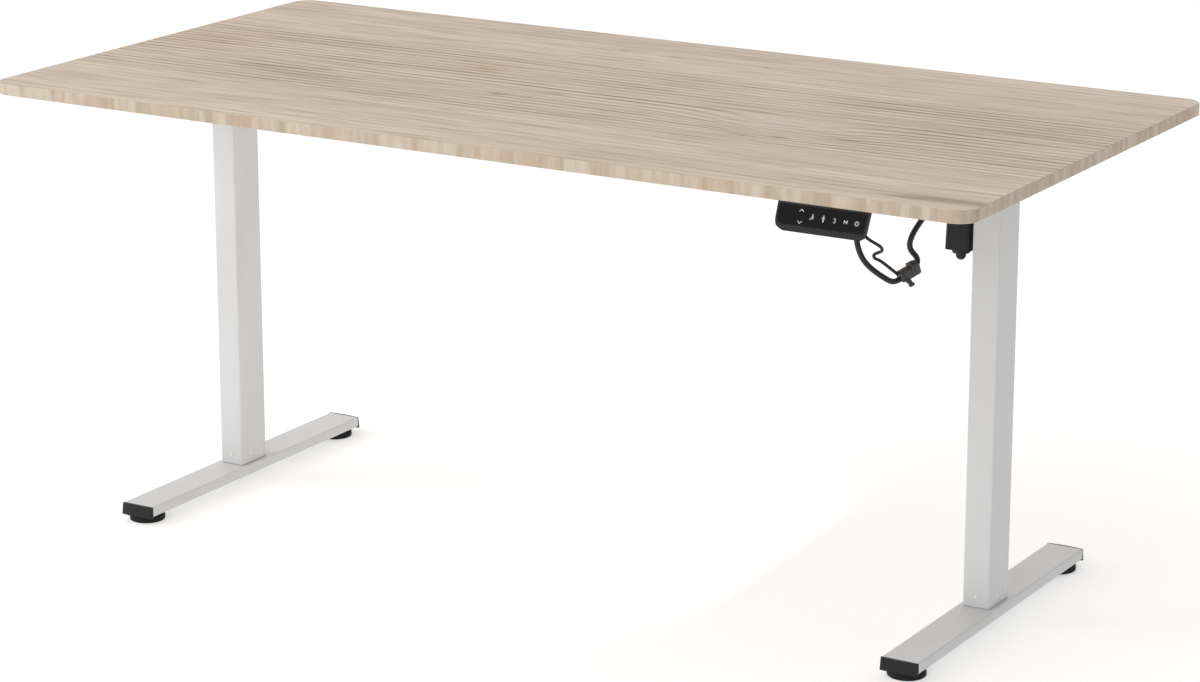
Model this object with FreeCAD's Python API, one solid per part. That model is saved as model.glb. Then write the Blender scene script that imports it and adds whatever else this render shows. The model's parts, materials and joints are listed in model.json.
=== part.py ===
import FreeCAD, Part
import math
import os

# Height adjustable desk: one motor, two telescopic legs joined by a hexagonal shaft.
# Frame: origin on the floor under the middle of the top, +X right, +Y back, +Z up.
# Everything is in millimetres, and the desk stands at its lowest height.

# ---- driving dimensions ----
top_length = 1600.0
top_depth = 800.0
top_thickness = 18.0
top_corner_r = 30.0
top_edge_r = 1.2
top_height = 701.5        # floor to the top surface with the legs retracted

leg_x = 654.0             # leg axis from the middle
leg_y = 4.8
travel = 480.0            # lift of the desk

column_w = 42.0           # outer column, along X
column_d = 64.4           # outer column, along Y
column_r = 3.0
column_wall = 1.8
column_gap = 0.8          # left between the outer column and the foot

glide_gap = 1.5           # between the outer and the inner column
glide_clear = 0.3
lower_glide_rise = 0.5    # above the lower end of the outer column
lower_glide_length = 44.5
upper_glide_drop = 2.0    # below the head of the inner column
upper_glide_length = 40.0
glide_screw_up = 15.5     # above the lower end of the outer column
glide_screw_r = 1.6
glide_screw_bite = 1.0
glide_head_r = 2.4
glide_head = 1.0
side_screws = (-9.7, 16.0)
inner_wall = 1.8
inner_r = 2.4
bore_r = 0.6
inner_short = 36.0        # the inner column ends this far below the outer one

foot_w = 57.2
foot_h = 16.3
foot_wall = 2.0
foot_r = 2.5
foot_front = -268.9
foot_back = 284.7
foot_bottom = 11.7
cap_top_reach = 2.4       # end cap: its face slopes outwards going down
cap_low_reach = 5.4
cap_bulge = 2.2           # the face swells by this much in the middle
cap_drop = 1.6
cap_top_gap = 0.2
cap_corner_r = 1.2
cap_plug = 12.0

pad_r = 27.3
pad_thickness = 9.5
pad_round = 2.5
pad_front_y = -247.3
pad_back_y = 259.6
insert_r = 5.5            # threaded insert for a levelling stud
insert_flange_r = 8.0
insert_flange = 0.8
stud_r = 4.0
stud_reach = 13.3         # stud and insert above the underside of the foot
insert_reach = 10.3
run_clear = 0.05          # radial clearance of every running fit

base_plate_t = 6.0        # plate welded into the inner column, bolted to the foot
bolt_r = 3.0
bolt_head_r = 5.0
bolt_head = 3.5
bolt_access_r = 6.0
bolt_inset = 7.0

spindle_r = 7.0
neck_r = 5.0
neck_short = 1.5          # the neck ends this far below the face of its gear
shoulder_gap = 0.2
nut_r = 12.0
nut_length = 28.0
nut_flange_r = 15.0
nut_flange = 4.0
carrier_h = 18.0

plate_thickness = 8.0     # bearing plate on the outer column
bearing_r = 11.0
shaft_rise = 17.0         # axis of the hexagonal shaft above the bearing plate
hex_af = 7.0
hub_r = 7.0
gear_teeth = 16
gear_r = 12.0             # pitch radius at the back of the bevel gear
gear_face = 5.0
gear_add = 1.0
gear_ded = 1.6
gear_root_space = 0.20    # half the gap between teeth, as a share of the pitch
gear_tip_space = 0.40
float_gap = 0.3           # under the hub of the spindle gear
housing_wall = 3.0
housing_height = 36.5
housing_half_x = 36.0
housing_front = 38.8      # from the leg axis to the front and back of the housings
housing_back = 36.0
drive_beyond = 23.0       # the drive housing reaches this far past the motor axis
hub_out = 4.0             # the drive hub sticks out of its housing

wheel_teeth = 20
wheel_r = 15.0
wheel_width = 10.0
wheel_depth = 3.0         # tooth depth
wheel_root_space = 0.15
wheel_tip_space = 0.32
worm_r = 4.5
worm_gap = 0.5
worm_half = 12.0
armature_r = 2.5
armature_in = 20.0        # the worm's shaft runs this far down into the motor
worm_hole_r = 5.0
motor_gap = 3.25          # between the outer column and the motor cover
motor_w = 38.5            # at its lower end; the sides lean in going up
motor_lean = 3.5
motor_d = 32.0
motor_length = 89.7
motor_wall = 2.0
motor_corner_r = 6.0
motor_inner_r = 4.5
can_clear = 0.5
can_lift = 1.0
end_frame_r = 12.5
boss_r = 7.3
boss_length = 11.0        # rounded off as a dome
end_frame_step = 5.3

bracket_w = 80.0
bracket_length = 540.0
bracket_t = 3.0
bracket_flange = 15.0
bracket_flange_t = 2.5
bracket_screw_dx = 15.0
bracket_screw_in = 30.0
rail_d = 22.0
rail_h = 30.0
rail_t = 2.5
rail_bolt_r = 2.5
rail_bolt_head_r = 4.5
rail_bolt_head = 3.0
rail_bolt_dx = 22.0
rail_bolt_down = 11.5     # below the top of the rail
top_screw_r = 2.2
top_screw_head_r = 4.5
top_screw_head = 2.2
top_screw_bite = 13.0

box_x = 455.0             # control box under the top
box_y = -135.0
box_length = 220.0
box_depth = 90.0
box_height = 32.0
box_wall = 2.0
box_wing = 12.0           # mounting flanges along both sides
box_screw_dx = 80.0
inlet_w = 27.0
inlet_h = 20.0
inlet_depth = 20.0
inlet_wall = 2.0
inlet_pins = ((-6.5, -1.5), (6.5, -1.5), (0.0, 3.0))
port_w = 14.0
port_h = 12.0
port_depth = 14.0
port_out = 3.0
port_dy = 22.0
port_drop = 1.0
board_gap = 4.0
board_edge = 9.0
board_rise = 8.0
board_t = 1.6
block_x = (20.0, 60.0)    # transformer, from the left end of the board
block_y = (-20.0, 14.0)
block_top = 18.0
coil_x = 20.0
coil_r = 11.0
coil_top = 16.0

handset_x = 593.2
handset_w = 134.0
handset_face = 32.0       # length of the sloping face
handset_tilt = 25.0       # face from the vertical
handset_taper = 2.5       # sides, inwards going down
handset_left_r = 18.0     # lower corners
handset_right_r = 13.0
handset_depth = 34.0      # under the top, from the front edge backwards
handset_wall = 2.0
handset_rim = 5.0         # full width this deep behind the face, then narrower
handset_narrow = 0.65     # each side comes in this much per mm of depth
handset_rear_h = 13.0
handset_screw_dx = 36.0
handset_screw_in = 8.0
lip_drop = 7.2            # rounded lip under the face
lip_in = 3.0
sole_drop = 8.2
sole_in = 10.0
panel_t = 1.2
panel_inset = 2.6
panel_top = 2.0
panel_proud = 0.15
panel_corner_r = 3.0
panel_left_r = 10.0       # its lower left corner follows the housing
panel_fit = 0.05
window_x = -47.0
window_half = 10.0
window_span = (7.0, 21.5)
recess_out = 3.0          # recesses are cut from this far outside the face
window_corner_r = 1.5
handset_board_in = 6.0
handset_board_span = (5.0, 26.0)
handset_board_deep = 5.0
board_fall = 1.5
board_corner_r = 1.0
board_left_r = 8.0
handset_board_t = 1.6

cable_d = 7.6
lead_d = 4.3
motor_lead_d = 5.0
plug_size = (14.0, 18.0, 14.0)       # width, length, height
socket_size = (15.0, 13.0, 17.0)
plug_place = (683.3, -343.0, 592.0)
plug_turn = 32.0          # about Z, from +Y towards +X
plug_rise = 20.0
plug_corner_r = 1.5
socket_up = 2.0           # the socket sits a little higher than the plug
clip_places = ((685.6, -283.5, 663.2), (597.0, -177.5, 667.3))
clip_pad = (18.0, 12.0, 2.0)
clip_loop = (11.0, 8.0)
clip_under = 5.5

# ---- worked out from them ----
top_under = top_height - top_thickness
foot_top = foot_bottom + foot_h
stud_top = foot_bottom + stud_reach
insert_top = foot_bottom + insert_reach
cavity_w = column_w - 2 * column_wall
cavity_d = column_d - 2 * column_wall
cavity_r = max(column_r - column_wall, 0.6)
inner_w = cavity_w - 2 * glide_gap
inner_d = cavity_d - 2 * glide_gap
bore_w = inner_w - 2 * inner_wall
bore_d = inner_d - 2 * inner_wall
housing_top = top_under - bracket_t
plate_top = housing_top - housing_height
column_top = plate_top - plate_thickness
column_bottom = foot_top + column_gap
inner_top = column_top - inner_short
spindle_bottom = inner_top - nut_length - travel
shaft_z = plate_top + shaft_rise
housing_front_y = leg_y - housing_front
housing_back_y = leg_y + housing_back
glide_screw_z = column_bottom + glide_screw_up
motor_x = leg_x - column_w / 2 - motor_gap - motor_w / 2
drive_reach = leg_x - motor_x + drive_beyond
motor_bottom = column_top - motor_length
boss_top = motor_bottom - end_frame_step
gear_back_z = shaft_z - gear_r
gear_front_z = gear_back_z + gear_face
port_ys = (box_y - port_dy, box_y + port_dy)
box_mid_z = top_under - box_height / 2 - port_drop
tilt = math.radians(handset_tilt)
handset_face_y = -top_depth / 2
handset_back_y = handset_face_y + handset_depth
handset_low_y = handset_face_y - handset_face * math.sin(tilt)
handset_low_z = top_under - handset_face * math.cos(tilt)
handset_screw_y = handset_back_y - handset_screw_in
handset_screw_xs = (handset_x - handset_screw_dx, handset_x + handset_screw_dx)
rear_z = top_under - handset_rear_h
motor_y = leg_y - wheel_r - worm_gap - worm_r
feet = (("left", -leg_x), ("right", leg_x))
pads = (("front", pad_front_y), ("back", pad_back_y))


# ---- small helpers ----
def vec(x, y, z):
    return FreeCAD.Vector(x, y, z)


def box(x0, x1, y0, y1, z0, z1):
    return Part.makeBox(x1 - x0, y1 - y0, z1 - z0, vec(x0, y0, z0))


def rod(x, y, z0, z1, r):
    return Part.makeCylinder(r, z1 - z0, vec(x, y, z0), vec(0, 0, 1))


def rod_x(x0, x1, y, z, r):
    return Part.makeCylinder(r, x1 - x0, vec(x0, y, z), vec(1, 0, 0))


def rod_y(x, y0, y1, z, r):
    return Part.makeCylinder(r, y1 - y0, vec(x, y0, z), vec(0, 1, 0))


def ring(x, y, z0, z1, r_out, r_in):
    return rod(x, y, z0, z1, r_out).cut(rod(x, y, z0 - 1, z1 + 1, r_in))


def prism(points, push):
    outline = [vec(*p) for p in points]
    outline.append(outline[0])
    return Part.Face(Part.makePolygon(outline)).extrude(push)


def bar(x, y, w, d, z0, z1, r):
    """Upright bar with rounded corners."""
    block = box(x - w / 2, x + w / 2, y - d / 2, y + d / 2, z0, z1)
    edges = [e for e in block.Edges if abs(e.BoundBox.ZLength - (z1 - z0)) < 1e-6]
    return block.makeFillet(min(r, w / 2.1, d / 2.1), edges)


def tube(x, y, outer, inner, z0, z1):
    """Rectangular tube; outer and inner are (width, depth, corner radius)."""
    skin = bar(x, y, outer[0], outer[1], z0, z1, outer[2])
    return skin.cut(bar(x, y, inner[0], inner[1], z0 - 1, z1 + 1, inner[2]))


def group(shapes):
    return Part.makeCompound(shapes)


def save(name, shape):
    shape.exportStep("parts/" + name + ".step")


def cord(name, points, diameter):
    """Straight runs joined by tangent arcs, each as large as its two runs allow."""
    pts = [vec(*p) for p in points]
    edges = []
    radii = []
    start = pts[0]
    for i in range(1, len(pts) - 1):
        into = pts[i] - pts[i - 1]
        out = pts[i + 1] - pts[i]
        turn = into.getAngle(out)
        cut_back = 0.45 * min(into.Length, out.Length)
        radius = cut_back / math.tan(turn / 2)
        a = pts[i] - into.normalize() * cut_back
        b = pts[i] + out.normalize() * cut_back
        aim = (a + b) * 0.5 - pts[i]
        to_mid = math.hypot(radius, cut_back) - radius
        mid = pts[i] + aim.normalize() * to_mid
        edges.append(Part.LineSegment(start, a).toShape())
        edges.append(Part.Arc(a, mid, b).toShape())
        radii.append(radius)
        start = b
    edges.append(Part.LineSegment(start, pts[-1]).toShape())
    path = Part.Wire(edges)
    first = (pts[1] - pts[0]).normalize()
    section = Part.Wire([Part.makeCircle(diameter / 2, pts[0], first)])
    solid = path.makePipeShell([section], True, False)
    ideal = math.pi * diameter ** 2 / 4 * path.Length
    print(name, "length %.1f" % path.Length, "volume ratio %.4f" % (solid.Volume / ideal),
          "least radius %.1f" % min(radii), "radii", ["%.0f" % r for r in radii])
    return solid


# ---- feet ----
def foot(x):
    mid = (foot_bottom + foot_top) / 2
    block = box(x - foot_w / 2, x + foot_w / 2, foot_front, foot_back, foot_bottom, foot_top)
    long_edges = [e for e in block.Edges if e.BoundBox.YLength > foot_w * 2]
    block = block.makeFillet(foot_r, long_edges)
    hollow_w = foot_w / 2 - foot_wall
    hollow_h = foot_h / 2 - foot_wall
    block = block.cut(box(x - hollow_w, x + hollow_w, foot_front - 1, foot_back + 1,
                          mid - hollow_h, mid + hollow_h))
    for side, y in pads:
        block = block.cut(rod(x, y, foot_bottom - 1, foot_bottom + foot_wall + 1, insert_r))
    for bx, by in column_bolt_places(x):
        block = block.cut(rod(bx, by, foot_top - foot_wall - 1, foot_top + 1, bolt_r))
        block = block.cut(rod(bx, by, foot_bottom - 1, foot_bottom + foot_wall + 1, bolt_access_r))
    return block


def column_bolt_places(x):
    dx = bore_w / 2 - bolt_inset
    dy = bore_d / 2 - bolt_inset
    return [(x + sx * dx, leg_y + sy * dy) for sx in (-1, 1) for sy in (-1, 1)]


def foot_cap(x, y_end, out):
    """Cap on the end of a foot: a plug inside the tube and a sloping face outside."""
    half = foot_w / 2
    z0 = foot_bottom - cap_drop
    z1 = foot_top - cap_top_gap
    face_y = y_end + out * cap_top_reach
    swell_y = face_y + out * cap_bulge
    behind_y = y_end - out * cap_low_reach
    far_y = y_end + out * (cap_low_reach + cap_bulge + 1)
    sides = [Part.makeLine(vec(x - half, behind_y, z1), vec(x - half, face_y, z1)),
             Part.Arc(vec(x - half, face_y, z1), vec(x, swell_y, z1),
                      vec(x + half, face_y, z1)).toShape(),
             Part.makeLine(vec(x + half, face_y, z1), vec(x + half, behind_y, z1)),
             Part.makeLine(vec(x + half, behind_y, z1), vec(x - half, behind_y, z1))]
    slope = vec(0, out * (cap_low_reach - cap_top_reach), z0 - z1)
    head = Part.Face(Part.Wire(sides)).extrude(slope)
    head = head.common(box(x - foot_w, x + foot_w, min(y_end, far_y), max(y_end, far_y), z0, z1))
    uprights = [e for e in head.Edges if e.BoundBox.XLength < 1e-6
                and e.BoundBox.ZLength > foot_h / 2
                and abs(e.CenterOfMass.y - y_end) > cap_top_reach / 2]
    head = head.makeFillet(cap_corner_r, uprights)
    mid = (foot_bottom + foot_top) / 2
    plug_w = foot_w / 2 - foot_wall
    plug_h = foot_h / 2 - foot_wall
    y_in = y_end - out * cap_plug
    plug = box(x - plug_w, x + plug_w, min(y_in, y_end), max(y_in, y_end),
               mid - plug_h, mid + plug_h)
    return head.fuse(plug).removeSplitter()


def leveller_insert(x, y):
    sleeve = ring(x, y, foot_bottom, insert_top, insert_r, stud_r + run_clear)
    flange = ring(x, y, foot_bottom - insert_flange, foot_bottom, insert_flange_r,
                  stud_r + run_clear)
    return sleeve.fuse(flange).removeSplitter()


def leveller(x, y):
    """Screw-in foot: a threaded stud moulded into a round pad."""
    pad = rod(x, y, 0, pad_thickness, pad_r)
    rims = [e for e in pad.Edges if e.BoundBox.ZLength < 1e-6]
    top_rim = max(rims, key=lambda e: e.BoundBox.ZMin)
    pad = pad.makeFillet(pad_round, [top_rim])
    stud = rod(x, y, pad_thickness - 1, stud_top, stud_r)
    return pad.fuse(stud).removeSplitter()


# ---- telescopic columns ----
def outer_column(x):
    shell = tube(x, leg_y, (column_w, column_d, column_r), (cavity_w, cavity_d, cavity_r),
                 column_bottom, column_top)
    for place in glide_screw_places(x):
        shell = shell.cut(place[1])
    return shell


def glide_screw_places(x):
    """Each entry is (screw, the hole that it needs)."""
    out = []
    reach = column_wall + glide_screw_bite
    for sy in (-1, 1):
        y = leg_y + sy * column_d / 2
        y_in = y - sy * reach
        stem = rod_y(x, min(y, y_in), max(y, y_in), glide_screw_z, glide_screw_r)
        y_out = y + sy * glide_head
        head = rod_y(x, min(y, y_out), max(y, y_out), glide_screw_z, glide_head_r)
        out.append((stem.fuse(head).removeSplitter(), stem))
    for sx in (-1, 1):
        for dy in side_screws:
            face = x + sx * column_w / 2
            inner = face - sx * reach
            y = leg_y + dy
            stem = rod_x(min(face, inner), max(face, inner), y, glide_screw_z, glide_screw_r)
            tip = face + sx * glide_head
            head = rod_x(min(face, tip), max(face, tip), y, glide_screw_z, glide_head_r)
            out.append((stem.fuse(head).removeSplitter(), stem))
    return out


def lower_glide(x):
    """Plastic sleeve fixed inside the foot end of the outer column."""
    c = 2 * glide_clear
    sleeve = tube(x, leg_y, (cavity_w, cavity_d, cavity_r),
                  (inner_w + c, inner_d + c, inner_r + glide_clear),
                  column_bottom + lower_glide_rise,
                  column_bottom + lower_glide_rise + lower_glide_length)
    for place in glide_screw_places(x):
        sleeve = sleeve.cut(place[1])
    return sleeve


def inner_column(x):
    return tube(x, leg_y, (inner_w, inner_d, inner_r), (bore_w, bore_d, bore_r),
                foot_top, inner_top)


def upper_glide(x):
    """Plastic sleeve round the head of the inner column."""
    c = 2 * glide_clear
    high = inner_top - upper_glide_drop
    return tube(x, leg_y, (cavity_w - c, cavity_d - c, cavity_r),
                (inner_w, inner_d, inner_r), high - upper_glide_length, high)


def base_plate(x):
    plate = bar(x, leg_y, bore_w, bore_d, foot_top, foot_top + base_plate_t, bore_r)
    for bx, by in column_bolt_places(x):
        plate = plate.cut(rod(bx, by, foot_top - 1, foot_top + base_plate_t + 1, bolt_r))
    return plate


def column_bolts(x):
    bolts = []
    top_wall = foot_top - foot_wall
    for bx, by in column_bolt_places(x):
        stem = rod(bx, by, top_wall, foot_top + base_plate_t, bolt_r)
        head = rod(bx, by, top_wall - bolt_head, top_wall, bolt_head_r)
        bolts.append(stem.fuse(head).removeSplitter())
    return bolts


def nut_carrier(x):
    block = bar(x, leg_y, bore_w, bore_d, inner_top - carrier_h, inner_top, bore_r)
    return block.cut(rod(x, leg_y, inner_top - carrier_h - 1, inner_top + 1, nut_r))


def spindle_nut(x):
    body = rod(x, leg_y, inner_top - nut_length, inner_top, nut_r)
    flange = rod(x, leg_y, inner_top, inner_top + nut_flange, nut_flange_r)
    whole = body.fuse(flange).removeSplitter()
    return whole.cut(rod(x, leg_y, inner_top - nut_length - 1, inner_top + nut_flange + 1,
                         spindle_r + run_clear))


# ---- screws, bearings and gears ----
def spindle(x):
    shoulder = column_top - shoulder_gap
    body = rod(x, leg_y, spindle_bottom, shoulder, spindle_r)
    neck = rod(x, leg_y, shoulder, gear_front_z - neck_short, neck_r - run_clear)
    return body.fuse(neck).removeSplitter()


def spindle_bearing(x):
    return ring(x, leg_y, column_top, plate_top, bearing_r, neck_r)


def bevel_blank():
    """Bevel gear with its cone's tip at the origin, opening towards -Z."""
    tip_k = (gear_r + gear_add) / gear_r
    near = gear_r - gear_face
    blank = Part.makeCone(gear_r * tip_k, near * tip_k, gear_face, vec(0, 0, -gear_r))
    root_k = (gear_r - gear_ded) / gear_r
    pitch = 2 * math.pi / gear_teeth
    for i in range(gear_teeth):
        mid = (i + 0.5) * pitch
        blank = blank.cut(tooth_space(mid, root_k, tip_k, pitch))
    return blank


def tooth_space(mid, root_k, tip_k, pitch):
    """Tapered gap between two teeth; every edge runs to the cone's tip."""
    low = gear_root_space * pitch
    high = gear_tip_space * pitch
    over = 0.15                # runs on past the tips by this share of the radius
    over_k = tip_k + over
    over_half = high + (high - low) * over / (tip_k - root_k)
    wires = []
    for depth in (gear_r + 1.0, gear_r - gear_face - 1.0):
        corners = []
        for k, half in ((root_k, -low), (root_k, low), (over_k, over_half), (over_k, -over_half)):
            a = mid + half
            corners.append(vec(depth * k * math.cos(a), depth * k * math.sin(a), -depth))
        corners.append(corners[0])
        wires.append(Part.makePolygon(corners))
    return Part.makeLoft(wires, True, True)


def spindle_gear(x):
    gear = bevel_blank()
    gear.translate(vec(x, leg_y, shaft_z))
    hub = rod(x, leg_y, plate_top + float_gap, gear_back_z, hub_r)
    whole = gear.fuse(hub).removeSplitter()
    return whole.cut(rod(x, leg_y, plate_top - 1, gear_front_z + 1, neck_r - run_clear))


def shaft_gear(x, hub_from):
    """Bevel gear on the shaft, on the -X side of the leg axis, with a long hub."""
    gear = bevel_blank()
    gear.rotate(vec(0, 0, 0), vec(0, 0, 1), 180.0 / gear_teeth)
    gear.rotate(vec(0, 0, 0), vec(0, 1, 0), 90)
    gear.translate(vec(x, leg_y, shaft_z))
    back = x - gear_r
    hub = rod_x(hub_from, back, leg_y, shaft_z, hub_r)
    whole = gear.fuse(hub).removeSplitter()
    return whole.cut(hex_bar(hub_from - 1, x, 0))


def hex_bar(x0, x1, clear):
    across = hex_af / 2 + clear
    corner = across / math.cos(math.pi / 6)
    points = []
    for i in range(6):
        a = math.pi / 6 + i * math.pi / 3
        points.append((x0, leg_y + corner * math.cos(a), shaft_z + corner * math.sin(a)))
    return prism(points, vec(x1 - x0, 0, 0))


def worm_wheel():
    x0 = motor_x - wheel_width / 2
    x1 = motor_x + wheel_width / 2
    blank = rod_x(x0, x1, leg_y, shaft_z, wheel_r)
    pitch = 2 * math.pi / wheel_teeth
    root = wheel_r - wheel_depth
    for i in range(wheel_teeth):
        a = i * pitch
        corners = []
        for r, half in ((root, wheel_root_space), (wheel_r + 1, wheel_tip_space)):
            for s in ((-1, 1) if r == root else (1, -1)):
                b = a + s * half * pitch
                corners.append((x0 - 1, leg_y + r * math.cos(b), shaft_z + r * math.sin(b)))
        blank = blank.cut(prism(corners, vec(wheel_width + 2, 0, 0)))
    return blank.cut(rod_x(x0 - 1, x1 + 1, leg_y, shaft_z, hub_r))


def worm_shaft():
    worm_low = shaft_z - worm_half
    thin = rod(motor_x, motor_y, column_top - armature_in, worm_low, armature_r)
    worm = rod(motor_x, motor_y, worm_low, shaft_z + worm_half, worm_r)
    return thin.fuse(worm).removeSplitter()


# ---- head frame ----
def housing_span(side):
    """Where the housing on that leg starts and ends in X."""
    x = -leg_x if side == "left" else leg_x
    inner = drive_reach if side == "right" else housing_half_x
    low = x - inner
    high = x + housing_half_x
    return low, high


def column_plate(side, x):
    low, high = housing_span(side)
    plate = box(low, high, housing_front_y, housing_back_y, column_top, plate_top)
    plate = plate.cut(rod(x, leg_y, column_top - 1, plate_top + 1, bearing_r))
    if side == "right":
        plate = plate.cut(rod(motor_x, motor_y, column_top - 1, plate_top + 1, worm_hole_r))
    return plate


def gear_housing(side, x):
    low, high = housing_span(side)
    w = housing_wall
    shell = box(low, high, housing_front_y, housing_back_y, plate_top, housing_top)
    shell = shell.cut(box(low + w, high - w, housing_front_y + w, housing_back_y - w,
                          plate_top - 1, housing_top - w))
    for bolt in rail_bolts(housing_front_y, -1) + rail_bolts(housing_back_y, 1):
        shell = shell.cut(bolt)
    hole_r = hub_r + run_clear
    if side == "right":
        return shell.cut(rod_x(low - 1, low + w + 1, leg_y, shaft_z, hole_r))
    shell = shell.cut(rod_x(high - w - 1, high + 1, leg_y, shaft_z, hole_r))
    return shell.cut(rod_x(low - 1, low + w + 1, leg_y, shaft_z, hole_r))


def side_bracket(x):
    outward = 1 if x > 0 else -1
    y0 = leg_y - bracket_length / 2
    y1 = leg_y + bracket_length / 2
    plate = box(x - bracket_w / 2, x + bracket_w / 2, y0, y1, housing_top, top_under)
    edge = x + outward * bracket_w / 2
    inner = edge - outward * bracket_flange_t
    flange = box(min(edge, inner), max(edge, inner), y0, y1,
                 housing_top - bracket_flange, housing_top)
    whole = plate.fuse(flange).removeSplitter()
    for sx, sy in bracket_screw_places(x):
        whole = whole.cut(rod(sx, sy, housing_top - 1, top_under + 1, top_screw_r))
    return whole


def bracket_screw_places(x):
    dy = bracket_length / 2 - bracket_screw_in
    return [(x + sx * bracket_screw_dx, leg_y + sy * dy) for sx in (-1, 1) for sy in (-1, 1)]


def rail(y_web, out):
    """Channel beside the gear housings; out is the way its flanges point."""
    x0 = -leg_x - housing_half_x
    x1 = leg_x + housing_half_x
    z1 = housing_top
    z0 = z1 - rail_h
    y_far = y_web + out * rail_d
    y_in = y_web + out * rail_t
    web = box(x0, x1, min(y_web, y_in), max(y_web, y_in), z0, z1)
    low = box(x0, x1, min(y_in, y_far), max(y_in, y_far), z0, z0 + rail_t)
    high = box(x0, x1, min(y_in, y_far), max(y_in, y_far), z1 - rail_t, z1)
    whole = web.fuse(low).fuse(high).removeSplitter()
    for bolt in rail_bolts(y_web, out):
        whole = whole.cut(bolt)
    return whole


def rail_bolts(y_web, out):
    bolts = []
    z = housing_top - rail_bolt_down
    for x in [leg + sx * rail_bolt_dx for side, leg in feet for sx in (-1, 1)]:
        y_in = y_web - out * housing_wall
        y_face = y_web + out * rail_t
        y_head = y_face + out * rail_bolt_head
        stem = rod_y(x, min(y_in, y_face), max(y_in, y_face), z, rail_bolt_r)
        head = rod_y(x, min(y_face, y_head), max(y_face, y_head), z, rail_bolt_head_r)
        bolts.append(stem.fuse(head).removeSplitter())
    return bolts


def top_screw(x, y, z_under):
    stem = rod(x, y, z_under, top_under + top_screw_bite, top_screw_r)
    head = rod(x, y, z_under - top_screw_head, z_under, top_screw_head_r)
    return stem.fuse(head).removeSplitter()


def top_screws():
    screws = []
    for side, x in feet:
        for sx, sy in bracket_screw_places(x):
            screws.append(top_screw(sx, sy, housing_top))
    for sx, sy in box_screw_places():
        screws.append(top_screw(sx, sy, top_under - box_wall))
    for sx in handset_screw_xs:
        screws.append(top_screw(sx, handset_screw_y, top_under - handset_wall))
    return screws


def table_top():
    board = bar(0, 0, top_length, top_depth, top_under, top_height, top_corner_r)
    rims = [e for e in board.Edges if e.BoundBox.ZLength < 1e-6]
    board = board.makeFillet(top_edge_r, rims)
    for screw in top_screws():
        board = board.cut(screw)
    return board


# ---- motor ----
def motor_cover():
    return motor_block(0, motor_corner_r).cut(motor_block(motor_wall, motor_inner_r))


def motor_block(inset, corner_r):
    """Upright block with its sides leaning in, open at both ends when it is an inset one."""
    low_half = motor_w / 2 - inset
    top_half = low_half - motor_lean
    y = motor_y - motor_d / 2 + inset
    z0 = motor_bottom - (1 if inset else 0)
    z1 = column_top + (1 if inset else 0)
    block = prism([(motor_x - low_half, y, z0), (motor_x + low_half, y, z0),
                   (motor_x + top_half, y, z1), (motor_x - top_half, y, z1)],
                  vec(0, motor_d - 2 * inset, 0))
    uprights = [e for e in block.Edges if e.BoundBox.ZLength > motor_length / 2]
    return block.makeFillet(corner_r, uprights)


def motor_can():
    r = motor_d / 2 - motor_wall - can_clear
    can = rod(motor_x, motor_y, motor_bottom + can_lift, column_top, r)
    return can.cut(rod(motor_x, motor_y, column_top - armature_in - 1, column_top + 1, worm_hole_r))


def motor_end_frame():
    x, y = motor_x, motor_y
    disc = rod(x, y, boss_top, motor_bottom + can_lift, end_frame_r)
    dome_z = boss_top - boss_length + boss_r
    boss = rod(x, y, dome_z, boss_top, boss_r)
    dome = Part.makeSphere(boss_r, vec(x, y, dome_z))
    return disc.fuse([boss, dome]).removeSplitter()


# ---- control box ----
def box_screw_places():
    dy = (box_depth + box_wing) / 2
    return [(box_x + sx * box_screw_dx, box_y + sy * dy) for sx in (-1, 1) for sy in (-1, 1)]


def control_box():
    """Tray that hangs under the top by two long flanges, open below."""
    x0 = box_x - box_length / 2
    x1 = box_x + box_length / 2
    y0 = box_y - box_depth / 2
    y1 = box_y + box_depth / 2
    z0 = top_under - box_height
    w = box_wall
    shell = box(x0, x1, y0, y1, z0, top_under)
    shell = shell.cut(box(x0 + w, x1 - w, y0 + w, y1 - w, z0 - 1, top_under - w))
    wings = box(x0, x1, y0 - box_wing, y1 + box_wing, top_under - w, top_under)
    whole = shell.fuse(wings).removeSplitter()
    mid_z = box_mid_z
    whole = whole.cut(box(x0 - 1, x0 + w + 1, box_y - inlet_w / 2, box_y + inlet_w / 2,
                          mid_z - inlet_h / 2, mid_z + inlet_h / 2))
    for y in port_ys:
        whole = whole.cut(box(x1 - w - 1, x1 + 1, y - port_w / 2, y + port_w / 2,
                              mid_z - port_h / 2, mid_z + port_h / 2))
    for sx, sy in box_screw_places():
        whole = whole.cut(rod(sx, sy, top_under - w - 1, top_under + 1, top_screw_r))
    return whole


def control_lid():
    x0 = box_x - box_length / 2 + box_wall
    x1 = box_x + box_length / 2 - box_wall
    y0 = box_y - box_depth / 2 + box_wall
    y1 = box_y + box_depth / 2 - box_wall
    z0 = top_under - box_height
    return box(x0, x1, y0, y1, z0, z0 + box_wall)


def circuit_board():
    """Board with its transformer and its storage coil."""
    x0 = box_x - box_length / 2 + inlet_depth + board_gap
    x1 = box_x + box_length / 2 - port_depth - 2 * board_gap
    half_y = box_depth / 2 - board_edge
    z0 = top_under - box_height + board_rise
    z1 = z0 + board_t
    board = box(x0, x1, box_y - half_y, box_y + half_y, z0, z1)
    block = box(x0 + block_x[0], x0 + block_x[1], box_y + block_y[0], box_y + block_y[1],
                z1, z0 + block_top)
    coil = rod(box_x + coil_x, box_y, z1, z0 + coil_top, coil_r)
    return board.fuse(block).fuse(coil).removeSplitter()


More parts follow.
